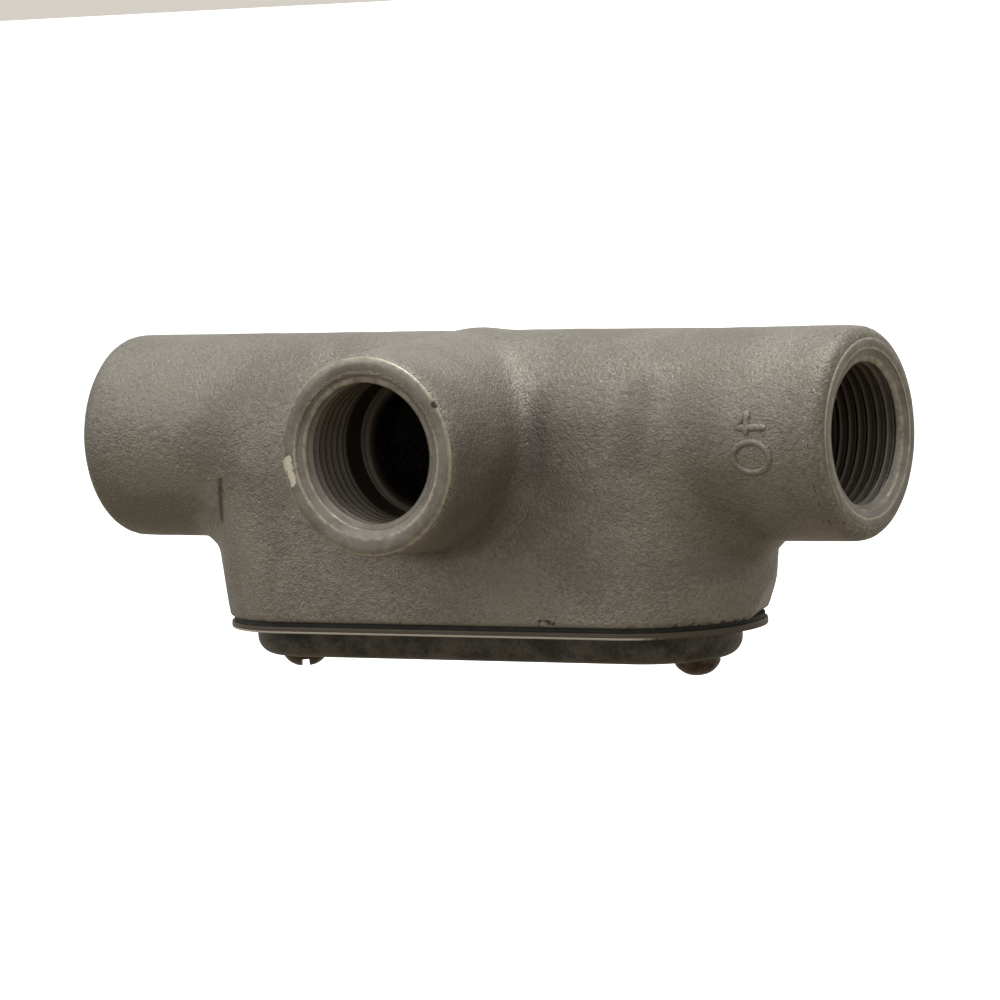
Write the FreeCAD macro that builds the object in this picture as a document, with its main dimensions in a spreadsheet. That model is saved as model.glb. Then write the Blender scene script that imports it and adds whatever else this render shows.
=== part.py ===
import FreeCAD, Part
import Sketcher
import math
import os

# Tee conduit outlet body: a cast iron body with three threaded hubs, and a domed steel cover that
# two screws and two wedge nuts hold over its opening, with a gasket between.
#
# Millimetres, +Z up. The origin is the centre of the branch hub's mouth. The branch hub points
# along -Y, the two run hubs lie in line along +X and -X, and the covered opening faces down, -Z.

document = FreeCAD.newDocument("conduit_body")

# ---- Driving dimensions ------------------------------------------------------------------------

SIZES = {
    # run barrel, with a threaded hub at each end
    "run_length": 150.5,
    "hub_radius": 18.2,
    "hub_edge_chamfer": 1.5,
    # branch hub, which swells a little towards its root
    "branch_reach": 39.5,
    "branch_mouth_radius": 17.3,
    "branch_root_radius": 18.95,
    "branch_root_setback": 2.0,
    "branch_edge_chamfer": 0.5,
    "branch_root_fillet": 2.6,
    # box under the run barrel, with drafted end walls and a soft shoulder
    "rim_depth": 31.4,
    "rim_length": 105.6,
    "rim_width": 37.2,
    "shoulder_height": 5.0,
    "end_draft": 4.45,
    "side_draft": 0.2,
    "shoulder_round": 9.0,
    "hub_junction_chamfer": 3.1,
    # flat left by grinding the gate off one round end of the rim
    "gate_flat_bearing": 19.0,
    "gate_flat_height": 5.0,
    "gate_flat_inset": 2.4,
    # chamber
    "casting_wall": 3.9,
    # hub bores: threaded as far as a bevelled conduit stop
    "thread_root_radius": 12.65,
    "mouth_chamfer": 0.5,
    "stop_depth": 17.5,
    "stop_radius": 10.3,
    "stop_chamfer": 1.2,
    # the cover and all that goes with it lie a little towards the left hub
    "cover_offset": 0.6,
    # gasket, set in from the casting's rim
    "gasket_thickness": 0.8,
    "gasket_end_inset": 1.2,
    "gasket_side_inset": 1.1,
    "gasket_band": 3.9,
    # stamped cover, also set in from the rim
    "sheet_thickness": 1.2,
    "cover_end_inset": 0.7,
    "cover_side_inset": 0.6,
    "flange_band": 4.5,
    "dome_depth": 5.1,
    "dome_chamfer": 2.2,
    "hollow_chamfer": 1.6,
    # cover screws, set in from the rim's ends
    "screw_end_inset": 12.45,
    "screw_hole_clearance": 0.25,
    "shank_radius": 2.05,
    "shank_length": 15.9,
    "shank_tip_chamfer": 0.5,
    "head_radius": 4.05,
    "head_height": 3.05,
    "head_edge_height": 1.0,
    "head_top_radius": 1.5,
    "slot_width": 1.4,
    "slot_depth": 1.45,
    "left_slot_angle": 121.0,
    "right_slot_angle": 40.0,
    # wedge nuts
    "nut_bar_width": 7.2,
    "nut_bar_height": 4.6,
    "nut_boss_radius": 3.5,
    "nut_boss_height": 2.0,
    "nut_rim_inset": 3.6,
    "nut_wall_clearance": 3.1,
    "nut_wedge_chamfer": 1.2,
    "nut_thread_clearance": 0.05,
}

sheet = document.addObject("Spreadsheet::Sheet", "Sizes")
for row, (alias, size) in enumerate(SIZES.items(), start=1):
    sheet.set(f"A{row}", alias)
    sheet.set(f"B{row}", str(size))
    sheet.setAlias(f"B{row}", alias)
document.recompute()

# Distance by which a cut runs past the face that it opens
OVERSHOOT = 1.0
# Largest distance at which two places count as the same
TOLERANCE = 1e-3

# A plane's own third axis, about which most sketches turn, and a turn that keeps an axis in place
# until its expression is worked out
OUT_OF_PLANE = FreeCAD.Vector(0, 0, 1)
STARTING_TURN = 1.0

# Expressions that more than one piece uses
CHAMBER_RADIUS = "(Sizes.hub_radius - Sizes.casting_wall)"
OPENING_LENGTH = "(Sizes.rim_length - 2 * Sizes.casting_wall)"
OPENING_WIDTH = f"(2 * {CHAMBER_RADIUS})"
GASKET_LENGTH = "(Sizes.rim_length - 2 * Sizes.gasket_end_inset)"
GASKET_WIDTH = "(Sizes.rim_width - 2 * Sizes.gasket_side_inset)"
COVER_LENGTH = "(Sizes.rim_length - 2 * Sizes.cover_end_inset)"
COVER_WIDTH = "(Sizes.rim_width - 2 * Sizes.cover_side_inset)"
DOME_LENGTH = f"({COVER_LENGTH} - 2 * Sizes.flange_band)"
DOME_WIDTH = f"({COVER_WIDTH} - 2 * Sizes.flange_band)"
FLANGE_TOP_Z = "(-Sizes.rim_depth - Sizes.gasket_thickness)"
FLANGE_BOTTOM_Z = f"({FLANGE_TOP_Z} - Sizes.sheet_thickness)"
DOME_BOTTOM_Z = f"({FLANGE_BOTTOM_Z} - Sizes.dome_depth)"
SCREW_REACH = "(Sizes.rim_length / 2 - Sizes.screw_end_inset)"
RIGHT_SCREW_X = f"({SCREW_REACH} - Sizes.cover_offset)"
LEFT_SCREW_X = f"(-{SCREW_REACH} - Sizes.cover_offset)"

# ---- Sketch helpers ----------------------------------------------------------------------------


def size(alias):
    """The value of one named size."""
    return getattr(sheet, alias)


def new_body(label):
    """An empty body whose label names its file."""
    body = document.addObject("PartDesign::Body", label)
    body.Label = label
    return body


def origin_feature(body, role):
    """One of the body's own origin planes or axes."""
    return next(item for item in body.Origin.OriginFeatures if item.Role == role)


def new_sketch(body, label, plane, x="0", y="0", z="0", turn="0", turned_about=OUT_OF_PLANE):
    """A sketch on an origin plane of the body, moved and turned in that plane's own axes."""
    sketch = body.newObject("Sketcher::SketchObject", label)
    sketch.AttachmentSupport = [(origin_feature(body, plane), "")]
    sketch.MapMode = "FlatFace"
    sketch.AttachmentOffset = FreeCAD.Placement(
        FreeCAD.Vector(0, 0, 0), FreeCAD.Rotation(turned_about, STARTING_TURN)
    )
    sketch.setExpression("AttachmentOffset.Base.x", x)
    sketch.setExpression("AttachmentOffset.Base.y", y)
    sketch.setExpression("AttachmentOffset.Base.z", z)
    sketch.setExpression("AttachmentOffset.Rotation.Angle", turn)
    return sketch


def value_of(sketch, expression):
    """The plain number that an expression gives."""
    result = sketch.evalExpression(expression)
    return float(getattr(result, "Value", result))


def constrain(sketch, name, kind, references, expression):
    """A named dimension that follows an expression."""
    sketch.addConstraint(Sketcher.Constraint(kind, *references, value_of(sketch, expression)))
    sketch.renameConstraint(sketch.ConstraintCount - 1, name)
    sketch.setExpression(f"Constraints.{name}", expression)


def polygon(sketch, corners):
    """A closed outline of straight edges whose corners are pairs of expressions."""
    points = [FreeCAD.Vector(value_of(sketch, x), value_of(sketch, y), 0) for x, y in corners]
    edges = [
        sketch.addGeometry(Part.LineSegment(start, end), False)
        for start, end in zip(points, points[1:] + points[:1])
    ]
    for index, edge in enumerate(edges):
        sketch.addConstraint(Sketcher.Constraint("Coincident", edges[index - 1], 2, edge, 1))
    for index, (x, y) in enumerate(corners):
        constrain(sketch, f"corner_{index}_x", "DistanceX", (edges[index], 1), x)
        constrain(sketch, f"corner_{index}_y", "DistanceY", (edges[index], 1), y)


def circle(sketch, radius, x="0"):
    """A circle on the sketch's horizontal axis."""
    centre = FreeCAD.Vector(value_of(sketch, x), 0, 0)
    ring = sketch.addGeometry(
        Part.Circle(centre, FreeCAD.Vector(0, 0, 1), value_of(sketch, radius)), False
    )
    sketch.addConstraint(Sketcher.Constraint("PointOnObject", ring, 3, -1))
    constrain(sketch, f"centre_{ring}_x", "DistanceX", (ring, 3), x)
    constrain(sketch, f"radius_{ring}", "Radius", (ring,), radius)


def obround(sketch, length, width):
    """Two half circles joined by straight sides, centred on the sketch's origin."""
    radius = f"({width}) / 2"
    reach = f"(({length}) - ({width})) / 2"
    bend = value_of(sketch, radius)
    straight = value_of(sketch, reach)
    up = FreeCAD.Vector(0, 0, 1)
    quarter = math.pi / 2
    right_circle = Part.Circle(FreeCAD.Vector(straight, 0, 0), up, bend)
    left_circle = Part.Circle(FreeCAD.Vector(-straight, 0, 0), up, bend)
    right = sketch.addGeometry(Part.ArcOfCircle(right_circle, -quarter, quarter), False)
    back = sketch.addGeometry(
        Part.LineSegment(FreeCAD.Vector(straight, bend, 0), FreeCAD.Vector(-straight, bend, 0)), False
    )
    left = sketch.addGeometry(Part.ArcOfCircle(left_circle, quarter, 3 * quarter), False)
    front = sketch.addGeometry(
        Part.LineSegment(FreeCAD.Vector(-straight, -bend, 0), FreeCAD.Vector(straight, -bend, 0)), False
    )
    for first, second in ((right, back), (back, left), (left, front), (front, right)):
        sketch.addConstraint(Sketcher.Constraint("Tangent", first, 2, second, 1))
    sketch.addConstraint(Sketcher.Constraint("PointOnObject", right, 3, -1))
    sketch.addConstraint(Sketcher.Constraint("PointOnObject", left, 3, -1))
    sketch.addConstraint(Sketcher.Constraint("Equal", right, left))
    constrain(sketch, f"radius_{right}", "Radius", (right,), radius)
    constrain(sketch, f"right_{right}_x", "DistanceX", (right, 3), reach)
    constrain(sketch, f"left_{right}_x", "DistanceX", (left, 3), f"-{reach}")


# ---- Feature helpers ---------------------------------------------------------------------------


def extrude(body, kind, label, sketch, length, symmetric=False, reverse=False):
    """A Pad or a Pocket of the sketch along its normal."""
    feature = body.newObject(f"PartDesign::{kind}", label)
    feature.Profile = sketch
    feature.setExpression("Length", length)
    feature.SideType = "Symmetric" if symmetric else "One side"
    feature.Reversed = reverse
    document.recompute()
    return feature


def revolve(body, kind, label, sketch, axis):
    """A Revolution or a Groove of the sketch about one of its own axes."""
    feature = body.newObject(f"PartDesign::{kind}", label)
    feature.Profile = sketch
    feature.ReferenceAxis = (sketch, [axis])
    feature.Angle = 360
    document.recompute()
    return feature


def loft(body, label, first, second):
    """An AdditiveLoft from one outline straight to the other."""
    feature = body.newObject("PartDesign::AdditiveLoft", label)
    feature.Profile = first
    feature.Sections = [second]
    feature.Ruled = True
    document.recompute()
    return feature


def mirror(body, label, feature, plane):
    """A mirror image of the feature in one of the body's origin planes."""
    copy = body.newObject("PartDesign::Mirrored", label)
    copy.Originals = [feature]
    copy.MirrorPlane = (origin_feature(body, plane), [""])
    body.Tip = copy
    document.recompute()


def edges_of(feature, test):
    """The names of the feature's edges that pass the test."""
    return [f"Edge{index}" for index, edge in enumerate(feature.Shape.Edges, start=1) if test(edge)]


def fillet(body, label, feature, test, radius):
    """A fillet on every edge of the feature that passes the test."""
    rounded = body.newObject("PartDesign::Fillet", label)
    rounded.Base = (feature, edges_of(feature, test))
    rounded.setExpression("Radius", radius)
    document.recompute()
    return rounded


def chamfer(body, label, feature, test, cut):
    """A chamfer on every edge of the feature that passes the test."""
    bevelled = body.newObject("PartDesign::Chamfer", label)
    bevelled.Base = (feature, edges_of(feature, test))
    bevelled.setExpression("Size", cut)
    document.recompute()
    return bevelled


def lies_at(low, high, level):
    """True where an extent is flat at a level."""
    return abs(low - level) < TOLERANCE and abs(high - level) < TOLERANCE


def place(body, x="0", z="0", turn=0):
    """The body's place, with its own origin straight above or below the run's axis."""
    body.Placement = FreeCAD.Placement(
        FreeCAD.Vector(0, 0, 0), FreeCAD.Rotation(FreeCAD.Vector(0, 0, 1), turn)
    )
    body.setExpression("Placement.Base.x", x)
    body.setExpression("Placement.Base.y", "Sizes.branch_reach")
    body.setExpression("Placement.Base.z", z)
    document.recompute()


# ---- Casting -----------------------------------------------------------------------------------


def branch_outline(sketch):
    """Half section of the branch: a slow taper, then a round end inside the barrel."""
    root = "(-Sizes.branch_root_setback)"
    mouth = "-Sizes.branch_reach"
    top = f"({root} + Sizes.branch_root_radius)"
    bend = size("branch_root_radius")
    centre = FreeCAD.Vector(0, value_of(sketch, root), 0)
    corners = [("0", mouth), ("Sizes.branch_mouth_radius", mouth), ("Sizes.branch_root_radius", root)]
    points = [FreeCAD.Vector(value_of(sketch, x), value_of(sketch, y), 0) for x, y in corners]
    tip = FreeCAD.Vector(0, value_of(sketch, top), 0)
    face = sketch.addGeometry(Part.LineSegment(points[0], points[1]), False)
    side = sketch.addGeometry(Part.LineSegment(points[1], points[2]), False)
    dome_circle = Part.Circle(centre, FreeCAD.Vector(0, 0, 1), bend)
    dome = sketch.addGeometry(Part.ArcOfCircle(dome_circle, 0, math.pi / 2), False)
    axis = sketch.addGeometry(Part.LineSegment(tip, points[0]), False)
    for first, second in ((face, side), (side, dome), (dome, axis), (axis, face)):
        sketch.addConstraint(Sketcher.Constraint("Coincident", first, 2, second, 1))
    for index, (line, (x, y)) in enumerate(zip((face, side), corners)):
        constrain(sketch, f"corner_{index}_x", "DistanceX", (line, 1), x)
        constrain(sketch, f"corner_{index}_y", "DistanceY", (line, 1), y)
    sketch.addConstraint(Sketcher.Constraint("PointOnObject", dome, 3, -2))
    sketch.addConstraint(Sketcher.Constraint("PointOnObject", dome, 2, -2))
    constrain(sketch, "root_centre_y", "DistanceY", (dome, 3), root)
    constrain(sketch, "root_start_y", "DistanceY", (dome, 1), root)
    constrain(sketch, "root_radius", "Radius", (dome,), "Sizes.branch_root_radius")


def kinds_beside(shape, edge):
    """The kinds of surface that an edge joins, as a sorted list of names."""
    faces = shape.ancestorsOfType(edge, Part.Face)
    return sorted(type(face.Surface).__name__ for face in faces)


def bore_outline(sketch, mouth, towards_chamber, inner_depth):
    """Half section of a hub's bore, from outside its mouth to inside the chamber.

    The run's bores have their depth along the sketch's x, the branch's bore along its y.
    """
    flare = f"(Sizes.thread_root_radius + Sizes.mouth_chamfer + {OVERSHOOT})"
    steps = [
        (f"(-{OVERSHOOT})", "0"),
        (f"(-{OVERSHOOT})", flare),
        ("Sizes.mouth_chamfer", "Sizes.thread_root_radius"),
        ("Sizes.stop_depth", "Sizes.thread_root_radius"),
        ("Sizes.stop_depth", "Sizes.stop_radius"),
        (inner_depth, "Sizes.stop_radius"),
        (inner_depth, "0"),
    ]
    if towards_chamber == "-x":
        polygon(sketch, [(f"{mouth} - {depth}", radius) for depth, radius in steps])
    else:
        polygon(sketch, [(radius, f"{mouth} + {depth}") for depth, radius in steps])


def make_casting():
    """The body: box, run barrel and branch in one casting, cored and tapped."""
    body = new_body("casting")
    run_end = size("run_length") / 2
    branch_end = -size("branch_reach")
    rim_level = -size("rim_depth")

    # Box with drafted ends and a soft shoulder
    shoulder = new_sketch(body, "shoulder_outline", "XY_Plane", z="Sizes.shoulder_height")
    obround(
        shoulder,
        "Sizes.rim_length + 2 * Sizes.end_draft",
        "Sizes.rim_width + 2 * Sizes.side_draft",
    )
    rim = new_sketch(body, "rim_outline", "XY_Plane", z="-Sizes.rim_depth")
    obround(rim, "Sizes.rim_length", "Sizes.rim_width")
    solid = loft(body, "box", shoulder, rim)
    shoulder_level = size("shoulder_height")
    solid = fillet(
        body,
        "shoulder_rounding",
        solid,
        lambda edge: lies_at(edge.BoundBox.ZMin, edge.BoundBox.ZMax, shoulder_level),
        "Sizes.shoulder_round",
    )

    # Run barrel through the box, blended into it all round
    hub_section = new_sketch(body, "hub_section", "YZ_Plane")
    circle(hub_section, "Sizes.hub_radius")
    solid = extrude(body, "Pad", "run_barrel", hub_section, "Sizes.run_length", symmetric=True)
    barrel_bottom = -size("hub_radius")
    solid = chamfer(
        body,
        "hub_junction",
        solid,
        lambda edge: abs(edge.BoundBox.ZMin - barrel_bottom) < TOLERANCE
        and edge.BoundBox.XLength > TOLERANCE,
        "Sizes.hub_junction_chamfer",
    )

    # Branch, with a domed root inside the barrel and a fillet round it
    branch_section = new_sketch(body, "branch_section", "XY_Plane")
    branch_outline(branch_section)
    solid = revolve(body, "Revolution", "branch", branch_section, "V_Axis")
    uncut = solid.Shape

    def runs_round_root(edge):
        kinds = kinds_beside(uncut, edge)
        return "Cone" in kinds and len(kinds) == 2 and not {"Plane", "Sphere"} & set(kinds)

    solid = fillet(body, "branch_root_rounding", solid, runs_round_root, "Sizes.branch_root_fillet")

    # Machined hub faces with eased edges
    solid = chamfer(
        body,
        "run_edge_bevels",
        solid,
        lambda edge: lies_at(edge.BoundBox.XMin, edge.BoundBox.XMax, run_end)
        or lies_at(edge.BoundBox.XMin, edge.BoundBox.XMax, -run_end),
        "Sizes.hub_edge_chamfer",
    )
    chamfer(
        body,
        "branch_edge_bevel",
        solid,
        lambda edge: lies_at(edge.BoundBox.YMin, edge.BoundBox.YMax, branch_end),
        "Sizes.branch_edge_chamfer",
    )

    # Flat where the gate was ground off, on a bearing from the middle of the rim's round end
    flat = new_sketch(
        body,
        "gate_flat_section",
        "XZ_Plane",
        x="(Sizes.rim_length - Sizes.rim_width) / 2",
        turn="Sizes.gate_flat_bearing",
        turned_about=FreeCAD.Vector(0, 1, 0),
    )
    wall = "Sizes.rim_width / 2"
    polygon(
        flat,
        [
            (f"{wall} - Sizes.gate_flat_inset", "-Sizes.rim_depth"),
            (f"{wall} + Sizes.gate_flat_inset", "-Sizes.rim_depth + 2 * Sizes.gate_flat_height"),
            (f"{wall} + Sizes.gate_flat_inset", "-Sizes.rim_depth"),
        ],
    )
    extrude(body, "Pocket", "gate_flat", flat, "Sizes.rim_width", symmetric=True)

    # Chamber: a trough open at the rim, under a barrel of the same width that follows the run
    opening = new_sketch(body, "opening_outline", "XY_Plane", z="-Sizes.rim_depth")
    obround(opening, OPENING_LENGTH, OPENING_WIDTH)
    extrude(body, "Pocket", "trough", opening, "Sizes.rim_depth", reverse=True)
    barrel_core = new_sketch(body, "barrel_core_section", "XZ_Plane")
    core_end = f"{OPENING_LENGTH} / 2"
    polygon(
        barrel_core,
        [
            (f"-{core_end}", "0"),
            (core_end, "0"),
            (core_end, CHAMBER_RADIUS),
            (f"-{core_end}", CHAMBER_RADIUS),
        ],
    )
    revolve(body, "Groove", "barrel_core", barrel_core, "H_Axis")

    # Threaded hub bores, each with a conduit stop
    run_bore = new_sketch(body, "run_bore_section", "XZ_Plane")
    run_bore_depth = f"(Sizes.run_length / 2 - {core_end} + {OVERSHOOT})"
    bore_outline(run_bore, "Sizes.run_length / 2", "-x", run_bore_depth)
    right_bore = revolve(body, "Groove", "right_bore", run_bore, "H_Axis")
    mirror(body, "left_bore", right_bore, "YZ_Plane")
    branch_bore = new_sketch(body, "branch_bore_section", "XY_Plane")
    bore_outline(branch_bore, "(-Sizes.branch_reach)", "+y", "Sizes.branch_reach")
    solid = revolve(body, "Groove", "branch_bore", branch_bore, "V_Axis")
    stop_depth = size("stop_depth")
    stop_radius = size("stop_radius")

    def is_stop_edge(edge):
        spans = edge.BoundBox
        if type(edge.Curve).__name__ != "Circle" or abs(edge.Curve.Radius - stop_radius) > TOLERANCE:
            return False
        on_run = any(lies_at(spans.XMin, spans.XMax, side * (run_end - stop_depth)) for side in (1, -1))
        return on_run or lies_at(spans.YMin, spans.YMax, branch_end + stop_depth)

    chamfer(body, "stop_bevels", solid, is_stop_edge, "Sizes.stop_chamfer")
    place(body)


# ---- Cover -------------------------------------------------------------------------------------


def make_gasket():
    """The flat ring between the casting's rim and the cover's flange."""
    body = new_body("gasket")
    ring = new_sketch(body, "gasket_outline", "XY_Plane")
    obround(ring, GASKET_LENGTH, GASKET_WIDTH)
    obround(
        ring,
        f"{GASKET_LENGTH} - 2 * Sizes.gasket_band",
        f"{GASKET_WIDTH} - 2 * Sizes.gasket_band",
    )
    extrude(body, "Pad", "ring", ring, "Sizes.gasket_thickness", reverse=True)
    place(body, x="-Sizes.cover_offset", z="-Sizes.rim_depth")


def make_cover():
    """The stamped cover: a flat flange round a shallow dome, of one even sheet."""
    body = new_body("cover")
    thickness = size("sheet_thickness")
    dome_bottom = -thickness - size("dome_depth")

    flange_outline = new_sketch(body, "flange_outline", "XY_Plane")
    obround(flange_outline, COVER_LENGTH, COVER_WIDTH)
    extrude(body, "Pad", "flange", flange_outline, "Sizes.sheet_thickness", reverse=True)
    dome_outline = new_sketch(body, "dome_outline", "XY_Plane", z="-Sizes.sheet_thickness")
    obround(dome_outline, DOME_LENGTH, DOME_WIDTH)
    dome = extrude(body, "Pad", "dome", dome_outline, "Sizes.dome_depth", reverse=True)
    chamfer(
        body,
        "dome_bevel",
        dome,
        lambda edge: lies_at(edge.BoundBox.ZMin, edge.BoundBox.ZMax, dome_bottom),
        "Sizes.dome_chamfer",
    )
    hollow_outline = new_sketch(body, "hollow_outline", "XY_Plane")
    obround(
        hollow_outline,
        f"{DOME_LENGTH} - 2 * Sizes.sheet_thickness",
        f"{DOME_WIDTH} - 2 * Sizes.sheet_thickness",
    )
    hollow = extrude(body, "Pocket", "hollow", hollow_outline, "Sizes.dome_depth")
    hollow_floor = -size("dome_depth")
    chamfer(
        body,
        "hollow_bevel",
        hollow,
        lambda edge: lies_at(edge.BoundBox.ZMin, edge.BoundBox.ZMax, hollow_floor),
        "Sizes.hollow_chamfer",
    )
    holes = new_sketch(body, "screw_holes", "XY_Plane")
    for side in ("", "-"):
        circle(
            holes,
            "Sizes.shank_radius + Sizes.screw_hole_clearance",
            f"{side}{SCREW_REACH}",
        )
    extrude(body, "Pocket", "screw_hole_pair", holes, "2 * (Sizes.dome_depth + Sizes.sheet_thickness)")
    place(body, x="-Sizes.cover_offset", z=FLANGE_TOP_Z)


# ---- Cover screws and wedge nuts ---------------------------------------------------------------


def make_screw(side, x, slot_angle):
    """A slotted round-head screw, its head's flat under side on the dome."""
    body = new_body(f"cover_screw_{side}")
    section = new_sketch(body, f"screw_section_{side}", "XZ_Plane")
    head_outline(section)
    revolve(body, "Revolution", f"turned_screw_{side}", section, "V_Axis")
    slot = new_sketch(body, f"slot_outline_{side}", "XY_Plane", z="-Sizes.head_height", turn=slot_angle)
    polygon(
        slot,
        [
            ("-2 * Sizes.head_radius", "-Sizes.slot_width / 2"),
            ("2 * Sizes.head_radius", "-Sizes.slot_width / 2"),
            ("2 * Sizes.head_radius", "Sizes.slot_width / 2"),
            ("-2 * Sizes.head_radius", "Sizes.slot_width / 2"),
        ],
    )
    extrude(body, "Pocket", f"slot_{side}", slot, "Sizes.slot_depth", reverse=True)
    place(body, x=x, z=DOME_BOTTOM_Z)


def make_nut(side, x, turn):
    """A wedge nut: a bar across the opening with rounded ends, and a tapped boss."""
    body = new_body(f"wedge_nut_{side}")
    bar = new_sketch(body, f"bar_outline_{side}", "XY_Plane")
    bar_outline(bar)
    solid = extrude(body, "Pad", f"bar_{side}", bar, "Sizes.nut_bar_height")
    chamfer(
        body,
        f"wedge_faces_{side}",
        solid,
        lambda edge: lies_at(edge.BoundBox.ZMin, edge.BoundBox.ZMax, size("nut_bar_height"))
        and type(edge.Curve).__name__ == "Circle",
        "Sizes.nut_wedge_chamfer",
    )
    boss = new_sketch(body, f"boss_outline_{side}", "XY_Plane")
    circle(boss, "Sizes.nut_boss_radius")
    extrude(body, "Pad", f"boss_{side}", boss, "Sizes.nut_bar_height + Sizes.nut_boss_height")
    tapping = new_sketch(body, f"tapped_hole_{side}", "XY_Plane")
    circle(tapping, "Sizes.shank_radius + Sizes.nut_thread_clearance")
    extrude(
        body,
        "Pocket",
        f"tapped_hole_cut_{side}",
        tapping,
        "2 * (Sizes.nut_bar_height + Sizes.nut_boss_height)",
        reverse=True,
    )
    place(body, x=x, z="-Sizes.rim_depth + Sizes.nut_rim_inset", turn=turn)


def head_outline(sketch):
    """Half section of a screw: upright head edge, sloping crown, shank and bevelled tip."""
    tip = "Sizes.shank_length"
    polygon(
        sketch,
        [
            ("0", "-Sizes.head_height"),
            ("Sizes.head_top_radius", "-Sizes.head_height"),
            ("Sizes.head_radius", "-Sizes.head_edge_height"),
            ("Sizes.head_radius", "0"),
            ("Sizes.shank_radius", "0"),
            ("Sizes.shank_radius", f"{tip} - Sizes.shank_tip_chamfer"),
            ("Sizes.shank_radius - Sizes.shank_tip_chamfer", tip),
            ("0", tip),
        ],
    )


def bar_outline(sketch):
    """A bar whose ends follow the opening's round end, with the clearance left on the tighter side."""
    end_radius = f"({OPENING_WIDTH} / 2 - Sizes.nut_wall_clearance)"
    end_centre = f"(({OPENING_LENGTH} - {OPENING_WIDTH}) / 2 - {SCREW_REACH} - Sizes.cover_offset)"
    half_width = "Sizes.nut_bar_width / 2"
    radius = value_of(sketch, end_radius)
    centre_x = value_of(sketch, end_centre)
    half = value_of(sketch, half_width)
    outer = math.acos((half - centre_x) / radius)
    inner = math.acos((-half - centre_x) / radius)
    round_wall = Part.Circle(FreeCAD.Vector(centre_x, 0, 0), FreeCAD.Vector(0, 0, 1), radius)

    def on_wall(angle):
        return FreeCAD.Vector(centre_x + radius * math.cos(angle), radius * math.sin(angle), 0)

    outer_side = sketch.addGeometry(Part.LineSegment(on_wall(-outer), on_wall(outer)), False)
    back_end = sketch.addGeometry(Part.ArcOfCircle(round_wall, outer, inner), False)
    inner_side = sketch.addGeometry(Part.LineSegment(on_wall(inner), on_wall(-inner)), False)
    front_end = sketch.addGeometry(Part.ArcOfCircle(round_wall, -inner, -outer), False)
    loop = (outer_side, back_end, inner_side, front_end)
    for first, second in zip(loop, loop[1:] + loop[:1]):
        sketch.addConstraint(Sketcher.Constraint("Coincident", first, 2, second, 1))
    for line in (outer_side, inner_side):
        sketch.addConstraint(Sketcher.Constraint("Vertical", line))
    for arc in (back_end, front_end):
        sketch.addConstraint(Sketcher.Constraint("PointOnObject", arc, 3, -1))
        constrain(sketch, f"wall_radius_{arc}", "Radius", (arc,), end_radius)
        constrain(sketch, f"wall_centre_{arc}", "DistanceX", (arc, 3), end_centre)
    constrain(sketch, "outer_side_x", "DistanceX", (outer_side, 1), half_width)
    constrain(sketch, "inner_side_x", "DistanceX", (inner_side, 1), f"-{half_width}")


# ---- Build, check and write --------------------------------------------------------------------

make_casting()
make_gasket()
make_cover()
make_screw("left", LEFT_SCREW_X, "Sizes.left_slot_angle")
make_screw("right", RIGHT_SCREW_X, "Sizes.right_slot_angle")
make_nut("left", LEFT_SCREW_X, 180)
make_nut("right", RIGHT_SCREW_X, 0)
document.recompute()

failed = [item.Label for item in document.Objects if {"Invalid", "Error"} & set(item.State)]
if failed:
    raise SystemExit(f"not built: {failed}")

bodies = [item for item in document.Objects if item.TypeId == "PartDesign::Body"]
for body in bodies:
    if body.Shape.isNull() or not body.Shape.isValid():
        raise SystemExit(f"{body.Label} has no valid shape")

os.makedirs("parts", exist_ok=True)
for body in bodies:
    body.Shape.exportStep(f"parts/{body.Label}.step")
    spans = body.Shape.BoundBox
    print(f"{body.Label}: {body.Shape.Volume:.1f} mm3, {len(body.Shape.Solids)} solid, "
          f"x {spans.XMin:.2f} to {spans.XMax:.2f}, y {spans.YMin:.2f} to {spans.YMax:.2f}, "
          f"z {spans.ZMin:.2f} to {spans.ZMax:.2f}")
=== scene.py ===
import math

import bmesh
import bpy
import numpy as np
from mathutils import Matrix, Vector, noise


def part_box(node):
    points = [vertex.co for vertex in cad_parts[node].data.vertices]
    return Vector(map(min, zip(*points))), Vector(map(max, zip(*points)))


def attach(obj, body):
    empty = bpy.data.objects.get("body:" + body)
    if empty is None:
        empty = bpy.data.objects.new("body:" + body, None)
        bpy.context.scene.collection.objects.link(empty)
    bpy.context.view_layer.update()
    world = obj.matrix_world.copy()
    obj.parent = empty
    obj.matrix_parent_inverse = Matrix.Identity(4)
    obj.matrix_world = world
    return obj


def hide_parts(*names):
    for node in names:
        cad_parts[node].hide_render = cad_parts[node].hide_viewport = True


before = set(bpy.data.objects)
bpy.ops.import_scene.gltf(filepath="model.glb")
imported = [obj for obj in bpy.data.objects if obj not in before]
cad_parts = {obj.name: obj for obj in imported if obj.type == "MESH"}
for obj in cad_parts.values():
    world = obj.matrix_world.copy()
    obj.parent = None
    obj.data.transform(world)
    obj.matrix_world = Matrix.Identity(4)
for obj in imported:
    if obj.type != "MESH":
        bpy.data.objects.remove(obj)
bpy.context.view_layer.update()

# Tee conduit outlet body: cast iron under aluminium lacquer, with tapped hubs and a stamped cover.
# Lengths are in metres, in the frame of the solids: the run lies along X, the branch along -Y.

MM = 0.001

# ---- Sizes that the pieces share ----------------------------------------------------------------

RUN_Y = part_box("gasket")[0][1] / 2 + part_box("gasket")[1][1] / 2
RUN_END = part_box("casting")[1][0]
HUB_RADIUS = 18.2 * MM
HUB_EDGE = 2.3 * MM
BRANCH_FACE_RADIUS = 17.3 * MM
BRANCH_EDGE = 0.6 * MM
RIM_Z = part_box("gasket")[1][2]
FACE_PROUD = 0.03 * MM

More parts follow.
